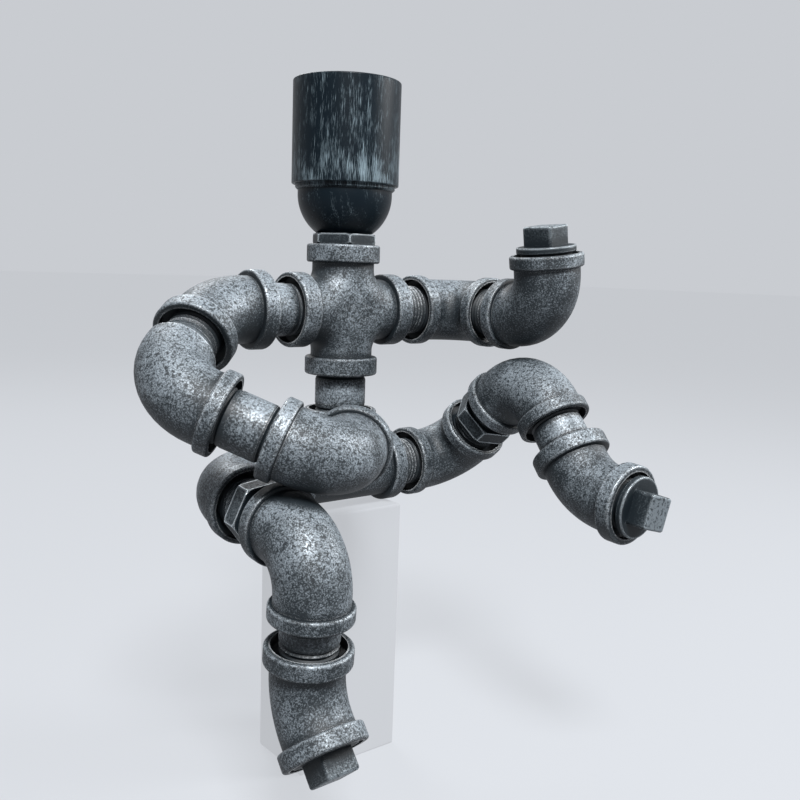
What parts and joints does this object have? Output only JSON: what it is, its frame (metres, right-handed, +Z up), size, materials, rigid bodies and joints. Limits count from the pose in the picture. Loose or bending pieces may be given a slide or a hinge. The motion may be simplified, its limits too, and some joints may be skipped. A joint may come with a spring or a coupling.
{
  "type": "pipe figure table lamp",
  "caption": "Table lamp shaped as a seated figure of threaded pipe elbows, tees, nipples and plugs, with an upright screw lampholder as its head and a cable outlet at its back.",
  "frame": {"origin": "on the plane of the seat, directly under the middle of the pelvis tee, where its two outlet rings would touch a flat shelf", "axes": "+Z up along the trunk and out of the lampholder, -Y forwards out of the figure's chest, +X to the figure's left"},
  "size_m": [0.1784, 0.1438, 0.2494],
  "materials": {
    "fittings": "antiqued silver over black, worn bright on the edges",
    "nipples": "antiqued silver over black",
    "plugs": "dark antiqued silver",
    "lampholder": "black with silver brush strokes",
    "insert": "moulded, matte",
    "contacts": "bare",
    "zinc": "zinc plated",
    "grommet": "matte",
    "lead": "matte sheath"
  },
  "bodies": {
    "pelvis": {"pelvis_tee": "fittings", "cord_grommet": "grommet", "waist_nipple": "nipples", "supply_cord_lower": "lead", "right_hip_nipple": "nipples", "left_hip_nipple": "nipples"},
    "torso": {"torso_cross": "fittings", "neck_bushing": "plugs", "hollow_rod": "zinc", "rod_lock_nut": "zinc", "lampholder_cap": "lampholder", "lampholder_skirt": "lampholder", "lampholder_core": "insert", "screw_shell": "contacts", "centre_contact": "contacts", "terminal_blocks": "contacts", "terminal_screws": "zinc", "supply_cord_upper": "lead", "terminal_leads": "lead", "right_shoulder_nipple": "nipples", "left_shoulder_nipple": "nipples"},
    "right_upper_arm": {"right_upper_elbow": "fittings"},
    "right_forearm": {"right_street_elbow": "fittings", "right_forearm_nipple": "nipples"},
    "right_hand": {"right_hand_elbow": "fittings", "right_hand_plug": "plugs"},
    "left_forearm": {"left_upper_elbow": "fittings", "left_forearm_nipple": "nipples"},
    "left_hand": {"left_hand_elbow": "fittings", "left_hand_plug": "plugs"},
    "right_thigh": {"right_hip_elbow": "fittings", "right_thigh_hex_nipple": "plugs"},
    "right_shin": {"right_knee_elbow": "fittings", "right_shin_nipple": "nipples"},
    "right_foot": {"right_foot_elbow": "fittings", "right_foot_plug": "plugs"},
    "left_thigh": {"left_hip_elbow": "fittings", "left_thigh_hex_nipple": "plugs"},
    "left_shin": {"left_knee_elbow": "fittings", "left_shin_nipple": "nipples"},
    "left_foot": {"left_foot_elbow": "fittings", "left_foot_plug": "plugs"}
  },
  "joints": [
    {"name": "waist", "type": "hinge", "parent": "pelvis", "child": "torso", "pos_m": [0, 0, 0.0573], "axis": [0, 0, 1], "range_deg": [0, 20]},
    {"name": "right_shoulder", "type": "hinge", "parent": "torso", "child": "right_upper_arm", "pos_m": [-0.0389, 0, 0.0843], "axis": [-1, 0, 0], "range_deg": [0, 60]},
    {"name": "right_elbow", "type": "hinge", "parent": "right_upper_arm", "child": "right_forearm", "pos_m": [-0.0739, -0.01014, 0.07394], "axis": [-0.7071, -0.4947, -0.5052], "range_deg": [0, 45]},
    {"name": "right_wrist", "type": "hinge", "parent": "right_forearm", "child": "right_hand", "pos_m": [-0.06402, -0.05093, 0.04365], "axis": [0.695, -0.6177, -0.3679], "range_deg": [0, 60]},
    {"name": "left_shoulder", "type": "hinge", "parent": "torso", "child": "left_forearm", "pos_m": [0.037, 0, 0.0843], "axis": [1, 0, 0], "range_deg": [-60, 0]},
    {"name": "left_wrist", "type": "hinge", "parent": "left_forearm", "child": "left_hand", "pos_m": [0.063, -0.0332, 0.0843], "axis": [0, -1, 0], "range_deg": [-45, 45]},
    {"name": "right_hip", "type": "hinge", "parent": "pelvis", "child": "right_thigh", "pos_m": [-0.0325, 0, 0.0155], "axis": [-1, 0, 0], "range_deg": [-30, 0]},
    {"name": "right_knee", "type": "hinge", "parent": "right_thigh", "child": "right_shin", "pos_m": [-0.0585, -0.04521, 0.01139], "axis": [0, -0.9959, -0.0906], "range_deg": [-30, 30]},
    {"name": "right_ankle", "type": "hinge", "parent": "right_shin", "child": "right_foot", "pos_m": [-0.05819, -0.06788, -0.02642], "axis": [0.0087, 0.0906, -0.9958], "range_deg": [-45, 45]},
    {"name": "left_hip", "type": "hinge", "parent": "pelvis", "child": "left_thigh", "pos_m": [0.0362, 0, 0.0155], "axis": [1, 0, 0], "range_deg": [0, 45]},
    {"name": "left_knee", "type": "hinge", "parent": "left_thigh", "child": "left_shin", "pos_m": [0.0622, -0.03148, 0.04315], "axis": [0, -0.7513, 0.66], "range_deg": [-30, 30]},
    {"name": "left_ankle", "type": "hinge", "parent": "left_shin", "child": "left_foot", "pos_m": [0.06038, -0.0756, 0.03233], "axis": [-0.0488, -0.6592, -0.7504], "range_deg": [-45, 45]}
  ]
}
